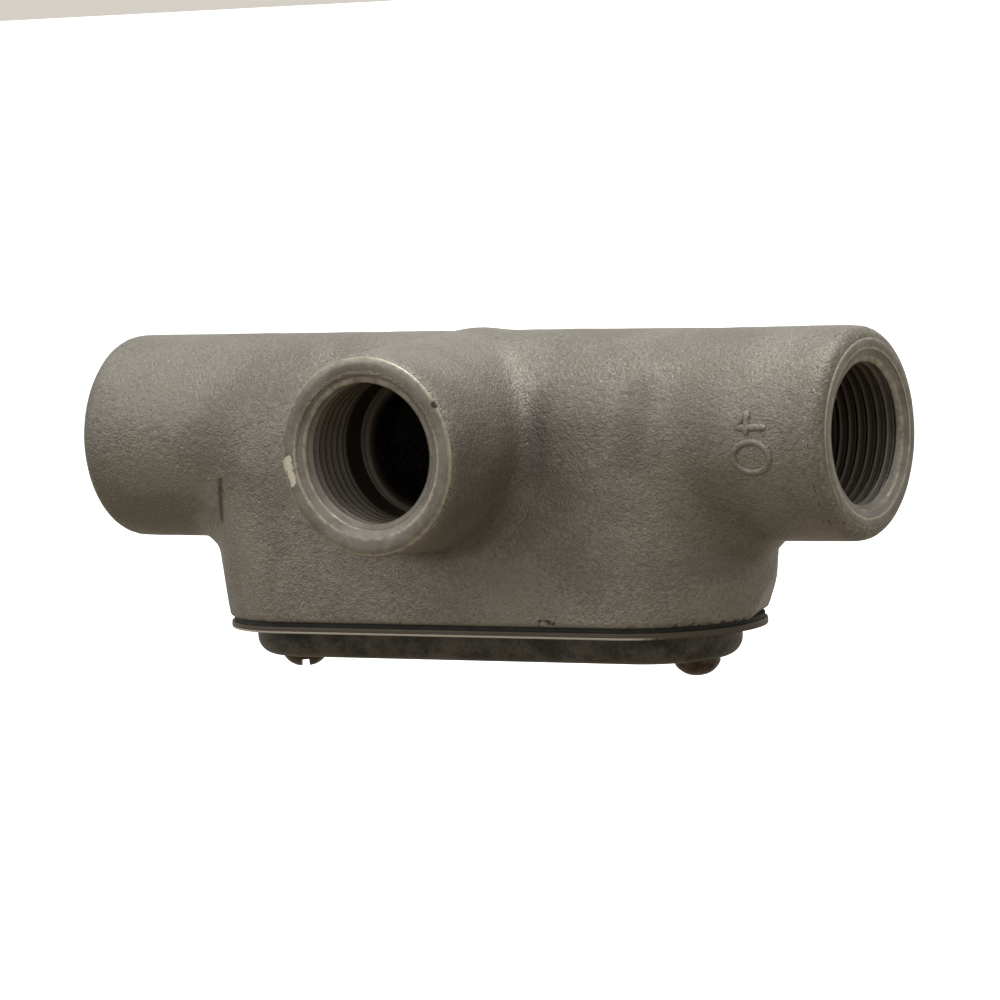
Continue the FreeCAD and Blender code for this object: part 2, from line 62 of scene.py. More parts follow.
MOUTH_RADIUS = 14.2 * MM
MOUTH_DEPTH = 1.0 * MM
THREAD_ROOT = 13.0 * MM
THREAD_CREST = 11.95 * MM
THREAD_PITCH = 1.814 * MM
THREAD_END = 13.6 * MM
STOP_DEPTH = 17.5 * MM
STOP_RADIUS = 10.3 * MM
STOP_EDGE = 1.3 * MM

COVER_LOW, COVER_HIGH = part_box("cover")
COVER_X = (COVER_LOW[0] + COVER_HIGH[0]) / 2
COVER_LENGTH = COVER_HIGH[0] - COVER_LOW[0]
COVER_WIDTH = COVER_HIGH[1] - COVER_LOW[1]
SHEET = 1.2 * MM
FLANGE_BAND = 4.5 * MM
# Heights above the flange's lower corner between which its painted highlight line fades out
HIGHLIGHT_LINE_HEIGHTS = (0.34 * MM, 0.45 * MM)

SCREW_XS = [
    (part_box(name)[0][0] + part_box(name)[1][0]) / 2 for name in ("cover_screw_left", "cover_screw_right")
]
SCREW_RADIUS = 2.05 * MM
HOLE_RADIUS = SCREW_RADIUS + 0.25 * MM
SHANK_PITCH = 0.794 * MM
# Millimetres that the shank's thread lies below its crest at each quarter of a pitch
SHANK_DEPTHS = (0.0, 0.16, 0.32, 0.16)
SLOT_WIDTH = 1.4 * MM
SLOT_DEPTH = 1.45 * MM
# Degrees that each screw's slot is turned from the run's direction
SLOT_ANGLES = {"left": 121.0, "right": 40.0}


# ---- Mesh helpers -------------------------------------------------------------------------------


def add_mesh(name, points, faces, smooth=True):
    """A new mesh piece from points and faces."""
    mesh = bpy.data.meshes.new(name)
    mesh.from_pydata([tuple(point) for point in points], [], [tuple(face) for face in faces])
    mesh.validate()
    mesh.polygons.foreach_set("use_smooth", [smooth] * len(mesh.polygons))
    piece = bpy.data.objects.new(name, mesh)
    bpy.context.scene.collection.objects.link(piece)
    return piece


def finished(piece, name):
    """The piece with its modifiers worked into the mesh."""
    graph = bpy.context.evaluated_depsgraph_get()
    mesh = bpy.data.meshes.new_from_object(piece.evaluated_get(graph))
    mesh.name = name
    result = bpy.data.objects.new(name, mesh)
    bpy.context.scene.collection.objects.link(result)
    bpy.data.objects.remove(piece)
    return result


def mesh_points(mesh):
    """The mesh's points as an array."""
    points = np.empty(len(mesh.vertices) * 3)
    mesh.vertices.foreach_get("co", points)
    return points.reshape(-1, 3)


def mesh_normals(mesh):
    """The mesh's point normals as an array."""
    normals = np.empty(len(mesh.vertices) * 3)
    mesh.vertex_normals.foreach_get("vector", normals)
    return normals.reshape(-1, 3)


def mesh_edges(mesh):
    """The pairs of points that a mesh's edges join."""
    edges = np.empty(len(mesh.edges) * 2, dtype=np.int64)
    mesh.edges.foreach_get("vertices", edges)
    return edges.reshape(-1, 2)


def set_points(mesh, points):
    """Puts moved points back into the mesh."""
    mesh.vertices.foreach_set("co", points.ravel())
    mesh.update()


def relax(points, edges, rounds, share):
    """Each round moves every point a share of the way to the middle of its neighbours."""
    ends = np.concatenate([edges, edges[:, ::-1]])
    counts = np.bincount(ends[:, 0], minlength=len(points))[:, None]
    for _ in range(rounds):
        sums = np.zeros_like(points)
        for axis in range(3):
            sums[:, axis] = np.bincount(ends[:, 0], weights=points[ends[:, 1], axis], minlength=len(points))
        points = points + (sums / counts - points) * share
    return points


def smoothstep(low, high, values):
    """0 below low, 1 above high, and a smooth rise between."""
    share = np.clip((values - low) / (high - low), 0, 1)
    return share * share * (3 - 2 * share)


def swept_ring(name, rows):
    """A surface through rows of points, each row a closed loop of as many points."""
    width = len(rows[0])
    points = [point for row in rows for point in row]
    faces = []
    for index in range(len(rows) - 1):
        here = index * width
        there = here + width
        for step in range(width):
            beside = (step + 1) % width
            faces.append((here + step, here + beside, there + beside, there + step))
    return add_mesh(name, points, faces)


# ---- Casting ------------------------------------------------------------------------------------

VOXEL = 0.68 * MM
SOFT_ROUNDS = 14
CRISP_ROUNDS = 3
HUB_CRISPNESS = {"right": 0.5, "left": 0.5, "branch": 1.0}
# The mould's unevenness: size and height of the lumps, and their seed
LUMPS = [(14 * MM, 0.10 * MM, 3.1), (4.5 * MM, 0.05 * MM, 7.7)]
# Room cut away round a tapped sleeve and past its stop
SLEEVE_ROOM = 0.9 * MM
STOP_ROOM = 2.2 * MM
HUBS = {
    "right": (Vector((RUN_END, RUN_Y, 0)), Vector((1, 0, 0)), HUB_RADIUS),
    "left": (Vector((-RUN_END, RUN_Y, 0)), Vector((-1, 0, 0)), HUB_RADIUS),
    "branch": (Vector((0, 0, 0)), Vector((0, -1, 0)), BRANCH_FACE_RADIUS),
}


def hub_reach(points, hub):
    """How deep below a hub's mouth and how far from its axis each point lies."""
    mouth, outward, _ = HUBS[hub]
    offset = points - np.array(mouth)
    depth = -(offset @ np.array(outward))
    radial = offset + depth[:, None] * np.array(outward)
    return depth, np.linalg.norm(radial, axis=1), radial


def uneven(points, size, seed):
    """Smooth noise between -1 and 1 at each point, with lumps of about the given size."""
    shift = Vector((seed, seed * 2, seed * 3))
    return np.array([noise.noise(Vector(point) / size + shift) for point in points])


def make_cast_body():
    """The casting with its corners softened and its skin left a little uneven."""
    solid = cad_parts["casting"]
    blank = bpy.data.objects.new("cast_blank", solid.data.copy())
    bpy.context.scene.collection.objects.link(blank)
    remesh = blank.modifiers.new("grid", "REMESH")
    remesh.mode = "VOXEL"
    remesh.voxel_size = VOXEL
    remesh.use_smooth_shade = True
    body = finished(blank, "cast_body")
    mesh = body.data
    edges = mesh_edges(mesh)
    points = mesh_points(mesh)
    start = points.copy()
    soft = relax(points, edges, SOFT_ROUNDS, 0.5)
    crisp = relax(points, edges, CRISP_ROUNDS, 0.5)
    # The rim stays crisp, and so do the bores, the hubs' ends and the ground flat at the right
    keep = 1 - smoothstep(0.4 * MM, 1.6 * MM, start[:, 2] - RIM_Z)
    for hub in HUBS:
        depth, reach, _ = hub_reach(start, hub)
        inside = (1 - smoothstep(14.2 * MM, 15.2 * MM, reach)) * (depth < 22 * MM)
        end = (1 - smoothstep(2.5 * MM, 4.5 * MM, depth)) * HUB_CRISPNESS[hub]
        keep = np.maximum(keep, np.maximum(inside, end))
    gate = smoothstep(42 * MM, 45 * MM, start[:, 0]) * (1 - smoothstep(-20 * MM, -17 * MM, start[:, 2]))
    keep = np.maximum(keep, gate)
    points = soft + (crisp - soft) * keep[:, None]
    # Slow unevenness of the sand mould, away from the machined places
    set_points(mesh, points)
    normals = mesh_normals(mesh)
    lumps = sum(uneven(points, size, seed) * height for size, height, seed in LUMPS)
    for hub in HUBS:
        depth, _, _ = hub_reach(points, hub)
        keep = np.maximum(keep, 1 - smoothstep(0.0, 0.6 * MM, depth))
    points = points + normals * (lumps * (1 - keep))[:, None]
    # The bores are opened behind their tapped sleeves
    for hub in HUBS:
        depth, reach, radial = hub_reach(points, hub)
        wall = (depth < STOP_DEPTH + STOP_ROOM) & (reach < THREAD_ROOT + 1.0 * MM) & (depth > -1 * MM)
        target = np.where(depth < STOP_DEPTH - SLEEVE_ROOM, THREAD_ROOT + SLEEVE_ROOM, reach)
        lip = wall & (depth >= STOP_DEPTH - SLEEVE_ROOM)
        grown = radial * (np.maximum(target, reach) / np.maximum(reach, MM))[:, None]
        inward = -np.array(HUBS[hub][1])
        points = np.where(wall[:, None], points + grown - radial, points)
        sunk = np.clip(STOP_DEPTH + 0.5 * MM - depth, 0, 1.4 * MM)
        points = np.where(lip[:, None], points + inward * sunk[:, None], points)
    set_points(mesh, points)
    return body


# ---- Hub sleeves: machined face, countersink, thread and conduit stop ---------------------------

# How far the branch's bore was cut above the middle of its rough casting
BORE_RISE = {"branch": 0.4 * MM}
THREAD_COLUMNS = 144
ROWS_PER_PITCH = 14
# Share of half a pitch that is flat at the crest, and again at the root
THREAD_FLAT = 0.12


def thread_radius(depth, turn):
    """The radius of the thread's surface at a depth below the mouth and a share of a turn."""
    phase = (depth / THREAD_PITCH - turn) % 1.0
    ramp = abs(phase - 0.5) * 2
    flank = min(max((ramp - THREAD_FLAT) / (1 - 2 * THREAD_FLAT), 0.0), 1.0)
    radius = THREAD_CREST + (THREAD_ROOT - THREAD_CREST) * flank
    mouth_cone = MOUTH_RADIUS - depth / MOUTH_DEPTH * (MOUTH_RADIUS - THREAD_CREST)
    radius = max(radius, mouth_cone)
    fade = min(max((depth - THREAD_END + THREAD_PITCH) / THREAD_PITCH, 0.0), 1.0)
    plain = THREAD_CREST + 0.25 * (THREAD_ROOT - THREAD_CREST)
    return radius + (plain - radius) * fade * fade * (3 - 2 * fade)


def make_hub_sleeve(hub):
    """The machined face and the tapped bore of one hub, as one surface."""
    mouth, outward, outer = HUBS[hub]
    sideways = Vector((0, 0, 1)).cross(outward).normalized()
    upward = outward.cross(sideways)
    face_outer = outer - (HUB_EDGE if hub != "branch" else BRANCH_EDGE) + 0.15 * MM
    section = [
        (0.35 * MM, face_outer + 0.1 * MM),
        (-FACE_PROUD, face_outer - 0.1 * MM),
        (-FACE_PROUD, (face_outer + MOUTH_RADIUS) / 2),
        (-FACE_PROUD, MOUTH_RADIUS + 0.12 * MM),
        (0.02 * MM, MOUTH_RADIUS),
    ]
    step = THREAD_PITCH / ROWS_PER_PITCH
    thread_rows = int((STOP_DEPTH - 0.2 * MM) / step)
    depths = [0.02 * MM + step * (index + 1) for index in range(thread_rows)]
    bore = mouth + Vector((0, 0, BORE_RISE.get(hub, 0.0)))
    rows = []
    turns = [index / THREAD_COLUMNS for index in range(THREAD_COLUMNS)]
    rims = [
        upward * math.cos(2 * math.pi * turn) + sideways * math.sin(2 * math.pi * turn) for turn in turns
    ]
    for depth, radius in section:
        centre = bore if radius < MOUTH_RADIUS + 0.2 * MM else mouth
        rows.append([centre - outward * depth + rim * radius for rim in rims])
    for depth in depths:
        rows.append(
            [bore - outward * depth + rim * thread_radius(depth, turn) for rim, turn in zip(rims, turns)]
        )
    lip = [
        (STOP_DEPTH, THREAD_CREST + 0.1 * MM),
        (STOP_DEPTH, STOP_RADIUS + STOP_EDGE),
        (STOP_DEPTH + 0.3 * STOP_EDGE, STOP_RADIUS + 0.3 * STOP_EDGE),
        (STOP_DEPTH + STOP_EDGE, STOP_RADIUS + 0.02 * MM),
        (STOP_DEPTH + 2.6 * MM, STOP_RADIUS + 0.02 * MM),
        (STOP_DEPTH + 2.8 * MM, STOP_RADIUS + 0.6 * MM),
    ]
    for depth, radius in lip:
        rows.append([mouth - outward * depth + rim * radius for rim in rims])
    sleeve = swept_ring(f"hub_sleeve_{hub}", rows)
    sleeve.data.flip_normals()
    return sleeve


# ---- Cover --------------------------------------------------------------------------------------

END_STEPS = 40
SIDE_STEPS = 30


def obround_loop(inset, level):
    """The cover's outline, moved inwards by an inset, at a level."""
    radius = COVER_WIDTH / 2 - inset
    straight = (COVER_LENGTH - COVER_WIDTH) / 2
    loop = []
    for side in (1, -1):
        for step in range(END_STEPS):
            angle = math.pi * (step / END_STEPS - 0.5)
            x = side * (straight + radius * math.cos(angle))
            loop.append(Vector((COVER_X + x, RUN_Y + side * radius * math.sin(angle), level)))
        for step in range(SIDE_STEPS):
            x = side * (straight - 2 * straight * step / SIDE_STEPS)
            loop.append(Vector((COVER_X + x, RUN_Y + side * radius, level)))
    return loop


def arc(centre, radius, start, end, steps):
    """Points on an arc of a section, as pairs of inset and level."""
    angles = [math.radians(start + (end - start) * step / steps) for step in range(steps + 1)]
    return [(centre[0] + radius * math.cos(angle), centre[1] + radius * math.sin(angle)) for angle in angles]


def make_stamped_cover():
    """The cover: one sheet with a flat flange, a soft bend and a shallow dome with screw holes."""
    top = COVER_HIGH[2]
    bottom = COVER_LOW[2]
    flange_bottom = top - SHEET
    bend_out = 3.2 * MM
    bend_root = 0.7 * MM
    edge = 0.22 * MM
    wall = FLANGE_BAND
    outer = arc((edge, top - edge), edge, 90, 180, 3)
    outer += [(0.0, flange_bottom + height) for height in reversed(HIGHLIGHT_LINE_HEIGHTS)]
    outer += arc((edge, flange_bottom + edge), edge, 180, 270, 3)
    outer += arc((wall - bend_root, flange_bottom - bend_root), bend_root, 90, 0, 5)
    outer += arc((wall + bend_out, bottom + bend_out), bend_out, 180, 270, 10)
    inner = arc((wall + bend_out, bottom + bend_out), bend_out - SHEET, 270, 180, 8)
    inner += arc((wall - bend_root, flange_bottom - bend_root), bend_root + SHEET, 0, 90, 6)
    rows = [obround_loop(inset, level) for inset, level in outer]
    inside = [obround_loop(inset, level) for inset, level in inner]
    skirt = swept_ring("cover_skirt", rows)
    lining = swept_ring("cover_lining", inside + [rows[0]])
    pieces = [skirt, lining]
    panel_inset = wall + bend_out
    for name, level in (("panel_low", bottom), ("panel_high", bottom + SHEET)):
        pieces.append(make_panel(name, panel_inset, level))
    for x in SCREW_XS:
        hole = []
        for level in (bottom, bottom + SHEET):
            hole.append(circle_loop(x, HOLE_RADIUS, level))
        pieces.append(swept_ring("hole_wall", hole))
    return joined(pieces, "stamped_cover")


def circle_loop(x, radius, level, steps=40):
    """A circle about a screw's axis."""
    turns = [2 * math.pi * step / steps for step in range(steps)]
    return [Vector((x + radius * math.cos(turn), RUN_Y + radius * math.sin(turn), level)) for turn in turns]


def make_panel(name, inset, level):
    """The dome's flat panel with its two screw holes."""
    builder = bmesh.new()
    loops = [obround_loop(inset, level)]
    loops += [circle_loop(x, HOLE_RADIUS, level) for x in SCREW_XS]
    edges = []
    for loop in loops:
        points = [builder.verts.new(point) for point in loop]
        edges += [builder.edges.new((points[index - 1], points[index])) for index in range(len(points))]
    bmesh.ops.triangle_fill(builder, use_beauty=True, edges=edges)
    mesh = bpy.data.meshes.new(name)
    builder.to_mesh(mesh)
    builder.free()
    piece = bpy.data.objects.new(name, mesh)
    bpy.context.scene.collection.objects.link(piece)
    return piece


def joined(pieces, name):
    """Several meshes as one piece, with their shared points merged and their normals outward."""
    builder = bmesh.new()
    for piece in pieces:
        builder.from_mesh(piece.data)
        bpy.data.objects.remove(piece)
    bmesh.ops.remove_doubles(builder, verts=builder.verts, dist=0.004 * MM)
    bmesh.ops.recalc_face_normals(builder, faces=builder.faces)
    mesh = bpy.data.meshes.new(name)
    builder.to_mesh(mesh)
    builder.free()
    mesh.polygons.foreach_set("use_smooth", [True] * len(mesh.polygons))
    mesh.set_sharp_from_angle(angle=math.radians(40))
    result = bpy.data.objects.new(name, mesh)
    bpy.context.scene.collection.objects.link(result)
    return result


# ---- Cover screws -------------------------------------------------------------------------------


def close_up(piece):
    """Fills a piece's open ends and turns its faces outward."""
    builder = bmesh.new()
    builder.from_mesh(piece.data)
    bmesh.ops.holes_fill(builder, edges=builder.edges, sides=0)
    bmesh.ops.recalc_face_normals(builder, faces=builder.faces)
    builder.to_mesh(piece.data)
    builder.free()


def make_screw(side, x, slot_angle):
    """A slotted round-head screw with a threaded shank."""
    low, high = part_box(f"cover_screw_{side}")
    seat = COVER_LOW[2]
    head_radius = (high[0] - low[0]) / 2
    crown = [
        (0.0, low[2]),
        (0.9 * MM, low[2] + 0.02 * MM),
        (1.8 * MM, low[2] + 0.22 * MM),
        (2.6 * MM, low[2] + 0.62 * MM),
        (3.25 * MM, low[2] + 1.15 * MM),
        (3.72 * MM, low[2] + 1.75 * MM),
        (head_radius - 0.06 * MM, low[2] + 2.25 * MM),
        (head_radius, low[2] + 2.6 * MM),
        (head_radius - 0.08 * MM, seat - 0.12 * MM),
        (head_radius - 0.25 * MM, seat),
        (SCREW_RADIUS, seat),
    ]
    steps = int((high[2] - seat - 0.5 * MM) / (SHANK_PITCH / 4))
    shank = []
    for step in range(1, steps):
        level = seat + step * SHANK_PITCH / 4
        shank.append((SCREW_RADIUS - SHANK_DEPTHS[step % 4] * MM, level))
    shank.append((SCREW_RADIUS - 0.5 * MM, high[2]))
    shank.append((0.0, high[2]))
    rows = []
    for radius, level in crown + shank:
        rows.append(circle_loop(x, max(radius, 0.02 * MM), level, 64))
    screw = swept_ring(f"slotted_screw_{side}", rows)
    close_up(screw)
    cutter = slot_cutter(x, low[2], slot_angle)
    close_up(cutter)
    cut = screw.modifiers.new("slot", "BOOLEAN")
    cut.operation = "DIFFERENCE"
    cut.solver = "EXACT"
    cut.object = cutter
    done = finished(screw, f"slotted_screw_{side}")
    bpy.data.objects.remove(cutter)
    done.data.set_sharp_from_angle(angle=math.radians(35))
    return done


def slot_cutter(x, bottom, angle):
    """A bar that leaves a driver's slot across the head."""
    half_width = SLOT_WIDTH / 2
    half_length = 6 * MM
    corners = []
    for level in (bottom - 1 * MM, bottom + SLOT_DEPTH):
        for along, across in ((1, 1), (-1, 1), (-1, -1), (1, -1)):
            corners.append(Vector((along * half_length, across * half_width, level)))
    spin = Matrix.Rotation(math.radians(angle), 4, "Z")
    points = [Vector((x, RUN_Y, 0)) + (spin @ corner) for corner in corners]
    faces = [(0, 1, 2, 3), (7, 6, 5, 4), (0, 4, 5, 1), (1, 5, 6, 2), (2, 6, 7, 3), (3, 7, 4, 0)]
    return add_mesh("slot_bar", points, faces, smooth=False)


# ---- Raised casting mark: a plain numeral and a plain ring --------------------------------------


# Along the run, and round the barrel below its widest line
MARK_PLACE = (62.2 * MM, -2.0 * MM)
MARK_WIDTH = 1.25 * MM
MARK_HEIGHT = 0.5 * MM
RING_HALF_SIZE = (3.35 * MM, 2.6 * MM)
RING_DROP = 4.3 * MM
# The numeral's strokes in millimetres, from the mark's place
NUMERAL = [
    [(-2.8, -0.7), (3.0, -0.7)],
    [(-2.8, -0.7), (-0.7, -3.6)],
    [(-0.7, -3.6), (-0.7, 0.6)],
]


def barrel_point(x, around, proud):
    """A point on the front of the run barrel: around is the arc length below its widest line."""
    angle = around / HUB_RADIUS
    radius = HUB_RADIUS + proud
    return Vector((x, RUN_Y - radius * math.cos(angle), -radius * math.sin(angle)))


def bead(name, path, width, height, closed=False):
    """A low rounded ridge along a path of pairs on the unrolled barrel."""
    sides = 8
    rows = []
    count = len(path)
    for index, (x, around) in enumerate(path):
        before = path[index - 1] if index or closed else path[index]
        after = path[(index + 1) % count] if index + 1 < count or closed else path[index]
        along = Vector((after[0] - before[0], after[1] - before[1])).normalized()
        across = Vector((-along.y, along.x))
        end_share = 1.0 if closed else min(1.0, 0.55 + min(index, count - 1 - index) * 0.45)
        row = []
        for side in range(sides + 1):
            turn = math.pi * side / sides
            sideways = math.cos(turn) * width / 2 * end_share
            rise = math.sin(turn) * height * end_share - 0.15 * MM
            row.append(barrel_point(x + across.x * sideways, around + across.y * sideways, rise))
        rows.append(row)
    points = [point for row in rows for point in row]
    faces = []
    width_count = sides + 1
    loops = count if closed else count - 1
    for index in range(loops):
        here = index * width_count
        there = (index + 1) % count * width_count
        for side in range(sides):
            faces.append((here + side, here + side + 1, there + side + 1, there + side))
    if not closed:
        faces.append(tuple(range(width_count)))
        faces.append(tuple(reversed(range((count - 1) * width_count, count * width_count))))
    return add_mesh(name, points, faces)


def divided(corners, step):
    """The corners of a path with evenly spaced points between them."""
    path = []
    for start, end in zip(corners, corners[1:]):
        start, end = Vector(start), Vector(end)
        count = max(2, int((end - start).length / step))
        path += [tuple(start.lerp(end, index / count)) for index in range(count)]
    path.append(tuple(corners[-1]))
    return path


def make_cast_mark():
    """A plain numeral and an oval ring, both raised in the mould."""
    centre_x, centre_around = MARK_PLACE
    turns = [2 * math.pi * step / 48 for step in range(48)]
    ring = [
        (
            centre_x + RING_HALF_SIZE[0] * math.cos(turn),
            centre_around + RING_DROP + RING_HALF_SIZE[1] * math.sin(turn),
        )
        for turn in turns
    ]
    pieces = [bead("mark_ring", ring, MARK_WIDTH, MARK_HEIGHT, closed=True)]
    for index, stroke in enumerate(NUMERAL):
        corners = [(centre_x + u * MM, centre_around + v * MM) for u, v in stroke]
        path = divided(corners, 0.5 * MM)
        pieces.append(bead(f"mark_stroke_{index}", path, MARK_WIDTH, MARK_HEIGHT))
    return joined(pieces, "cast_mark")


# ---- Shader node helpers ------------------------------------------------------------------------


def link_in(tree, value, socket):
    """Feeds a socket from another socket, or sets it to a plain value."""
    if isinstance(value, bpy.types.NodeSocket):
        tree.links.new(value, socket)
    elif value is not None:
        socket.default_value = value


def math_node(tree, operation, first, second=None, clamp=False):
    """The result of a Math node."""
    node = tree.nodes.new("ShaderNodeMath")
    node.operation = operation
    node.use_clamp = clamp
    link_in(tree, first, node.inputs[0])
    link_in(tree, second, node.inputs[1])
    return node.outputs[0]


def ramp_node(tree, value, low, high):
    """A value mapped smoothly from low..high to 0..1."""
    node = tree.nodes.new("ShaderNodeMapRange")
    node.interpolation_type = "SMOOTHSTEP"
    link_in(tree, value, node.inputs["Value"])
    link_in(tree, low, node.inputs["From Min"])
    link_in(tree, high, node.inputs["From Max"])
    return node.outputs[0]


def noise_node(tree, place, scale, detail=2.0, roughness=0.5, distortion=0.0):
    """The value of a noise texture."""
    node = tree.nodes.new("ShaderNodeTexNoise")
    link_in(tree, place, node.inputs["Vector"])
    link_in(tree, scale, node.inputs["Scale"])
    node.inputs["Detail"].default_value = detail
    node.inputs["Roughness"].default_value = roughness
    node.inputs["Distortion"].default_value = distortion
    return node.outputs["Fac"]


def mix_colour(tree, share, first, second):
    """Two colours mixed by a share."""
    node = tree.nodes.new("ShaderNodeMix")
    node.data_type = "RGBA"
    link_in(tree, share, node.inputs[0])
    link_in(tree, first, node.inputs[6])
    link_in(tree, second, node.inputs[7])
    return node.outputs[2]


def new_group(name, inputs, outputs):
    """An empty shader node group with named inputs and outputs."""
    group = bpy.data.node_groups.new(name, "ShaderNodeTree")
    for label, kind, value in inputs:
        socket = group.interface.new_socket(label, in_out="INPUT", socket_type=kind)
        if value is not None:
            socket.default_value = value
    for label, kind in outputs:
        group.interface.new_socket(label, in_out="OUTPUT", socket_type=kind)
    ins = group.nodes.new("NodeGroupInput")
    outs = group.nodes.new("NodeGroupOutput")
    return group, ins.outputs, outs.inputs


def place_group(tree, group, **values):
    """The group in a material, with its own values; underscores stand for spaces."""
    node = tree.nodes.new("ShaderNodeGroup")
    node.node_tree = group
    for label, value in values.items():
        link_in(tree, value, node.inputs[label.replace("_", " ")])
    return node.outputs


FLOAT = "NodeSocketFloat"
VECTOR = "NodeSocketVector"
COLOUR = "NodeSocketColor"


def build_sand_skin():
    """Fine pimples and pits that a sand mould leaves under lacquer."""
    group, ins, outs = new_group(
        "Sand Skin",
        [("Place", VECTOR, None), ("Grain", FLOAT, 1500.0), ("Pitting", FLOAT, 0.4)],
        [("Height", FLOAT)],
    )
    fine = noise_node(group, ins["Place"], ins["Grain"], 2.0, 0.6)
    half = math_node(group, "MULTIPLY", ins["Grain"], 0.36)
    broad = noise_node(group, ins["Place"], half, 2.0, 0.55)
    lumps = math_node(group, "MULTIPLY", broad, 1.1)
    height = math_node(group, "ADD", fine, lumps)
    pits = ramp_node(group, broad, 0.36, 0.24)
    drop = math_node(group, "MULTIPLY", pits, ins["Pitting"])
    height = math_node(group, "SUBTRACT", height, drop)
    group.links.new(height, outs["Height"])
    return group


def build_mottle():
    """Soft clouds of two tones with fine speckle over them."""
    group, ins, outs = new_group(
        "Mottle",
        [
            ("Place", VECTOR, None),
            ("Cloud Scale", FLOAT, 90.0),
            ("Speckle Scale", FLOAT, 1800.0),
            ("Speckle", FLOAT, 0.3),
            ("Dark", COLOUR, (0.1, 0.1, 0.1, 1)),
            ("Light", COLOUR, (0.3, 0.3, 0.3, 1)),
        ],
        [("Colour", COLOUR), ("Cloud", FLOAT)],
    )
    cloud = noise_node(group, ins["Place"], ins["Cloud Scale"], 4.0, 0.6, 0.4)
    cloud = ramp_node(group, cloud, 0.32, 0.68)
    speck = noise_node(group, ins["Place"], ins["Speckle Scale"], 2.0, 0.7)
    speck = ramp_node(group, speck, 0.3, 0.7)
    speck = math_node(group, "SUBTRACT", speck, 0.5)
    speck = math_node(group, "MULTIPLY", speck, ins["Speckle"])
    share = math_node(group, "ADD", cloud, speck, clamp=True)
    colour = mix_colour(group, share, ins["Dark"], ins["Light"])
    group.links.new(colour, outs["Colour"])
    group.links.new(cloud, outs["Cloud"])
    return group


def build_ragged_mask():
    """A soft mask broken up by noise, for wear, chips and rust."""
    group, ins, outs = new_group(
        "Ragged Mask",
        [
            ("Place", VECTOR, None),
            ("Amount", FLOAT, 0.5),
            ("Scale", FLOAT, 900.0),
            ("Ragged", FLOAT, 0.6),
            ("Softness", FLOAT, 0.08),
        ],
        [("Mask", FLOAT)],
    )
    rough = noise_node(group, ins["Place"], ins["Scale"], 3.0, 0.65)
    rough = math_node(group, "SUBTRACT", rough, 0.5)
    rough = math_node(group, "MULTIPLY", rough, ins["Ragged"])
    level = math_node(group, "ADD", ins["Amount"], rough)
    high = math_node(group, "ADD", 0.5, ins["Softness"])
    low = math_node(group, "SUBTRACT", 0.5, ins["Softness"])
    mask = ramp_node(group, level, low, high)
    group.links.new(mask, outs["Mask"])
    return group


SAND_SKIN = build_sand_skin()
MOTTLE = build_mottle()
RAGGED_MASK = build_ragged_mask()


def new_material(name):
    """An empty node material, its tree, its shader and the object's own place."""
    material = bpy.data.materials.new(name)
    material.use_nodes = True
    tree = material.node_tree
    shader = tree.nodes["Principled BSDF"]
    place = tree.nodes.new("ShaderNodeTexCoord").outputs["Object"]
    return material, tree, shader, place


def attribute(tree, name):
    """A value painted on the mesh's points."""
    node = tree.nodes.new("ShaderNodeAttribute")
    node.attribute_name = name
    return node.outputs["Fac"]


def mottled(tree, place, clouds, specks, speckle, dark, light):
    """A skin of two tones: sizes of its clouds and specks, how strong the specks are, and the tones."""
    return place_group(
        tree,
        MOTTLE,
        Place=place,
        Cloud_Scale=clouds,
        Speckle_Scale=specks,
        Speckle=speckle,
        Dark=(*dark, 1),
        Light=(*light, 1),
    )


def ragged(tree, place, amount, scale, raggedness, softness):
    """A broken-up mask for wear, chips or rust."""
    return place_group(
        tree, RAGGED_MASK, Place=place, Amount=amount, Scale=scale, Ragged=raggedness, Softness=softness
    )["Mask"]


def add_skin(tree, shader, place, grain, pitting, distance, strength):
    """A fine grain as a bump that feeds the shader's normal."""
    skin = place_group(tree, SAND_SKIN, Place=place, Grain=grain, Pitting=pitting)
    bump = tree.nodes.new("ShaderNodeBump")
    bump.inputs["Distance"].default_value = distance
    bump.inputs["Strength"].default_value = strength
    tree.links.new(skin["Height"], bump.inputs["Height"])
    tree.links.new(bump.outputs["Normal"], shader.inputs["Normal"])


RUST_BROWN = (0.045, 0.030, 0.019, 1)


